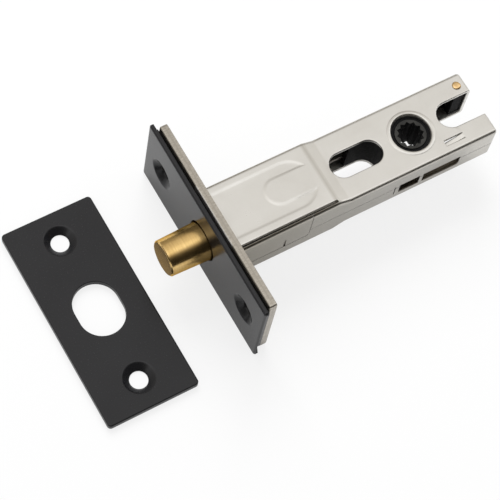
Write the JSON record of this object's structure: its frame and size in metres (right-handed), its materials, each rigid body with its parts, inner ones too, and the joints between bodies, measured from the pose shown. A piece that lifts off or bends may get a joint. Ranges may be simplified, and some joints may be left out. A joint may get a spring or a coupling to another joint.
{
  "type": "tubular privacy bolt",
  "caption": "Tubular privacy bolt: a spindle turned in the case's follower throws or draws a round bolt through a square-cornered forend; with its flat strike plate.",
  "frame": {"origin": "centre of the forend's front face, on the bolt's axis, midway between its two screw holes", "axes": "+X out of the forend, the way the bolt is thrown; +Y along the forend; +Z square to the broad side of the case, upwards as the part lies"},
  "size_m": [0.1211, 0.0576, 0.025],
  "materials": {
    "black_coating": "satin black powder coat",
    "nickel": "satin nickel plate on pressed steel",
    "brass": "turned and lightly polished brass",
    "steel": "dull zinc plate",
    "bronze": "spring bronze strip",
    "black_moulding": "black nylon",
    "dark_follower": "blackened zinc alloy"
  },
  "bodies": {
    "lock_case": {"faceplate": "black_coating", "backplate": "nickel", "case_upper": "nickel", "case_lower": "nickel", "bolt_guide": "black_moulding", "fixing_guard": "black_moulding", "rear_spacer": "black_moulding", "rear_rivet": "brass", "detent_spring": "bronze", "follower_bush_upper": "black_moulding", "follower_bush_lower": "black_moulding", "strike_plate": "black_coating"},
    "bolt_unit": {"bolt": "brass", "bolt_pin": "steel", "draw_bar": "steel"},
    "follower_unit": {"follower": "dark_follower"}
  },
  "joints": [
    {"name": "bolt_slide", "type": "slide", "parent": "lock_case", "child": "bolt_unit", "axis": [1, 0, 0], "range_m": [-0.0108, 0], "deforming": ["detent_spring"]},
    {"name": "follower_turn", "type": "hinge", "parent": "lock_case", "child": "follower_unit", "pos_m": [-0.06, 0, 0], "axis": [0, 0, 1], "range_deg": [-90, 0]}
  ],
  "couplings": [
    {"joint": "follower_turn", "follows": "bolt_slide", "rad_per_m": 145.44}
  ]
}
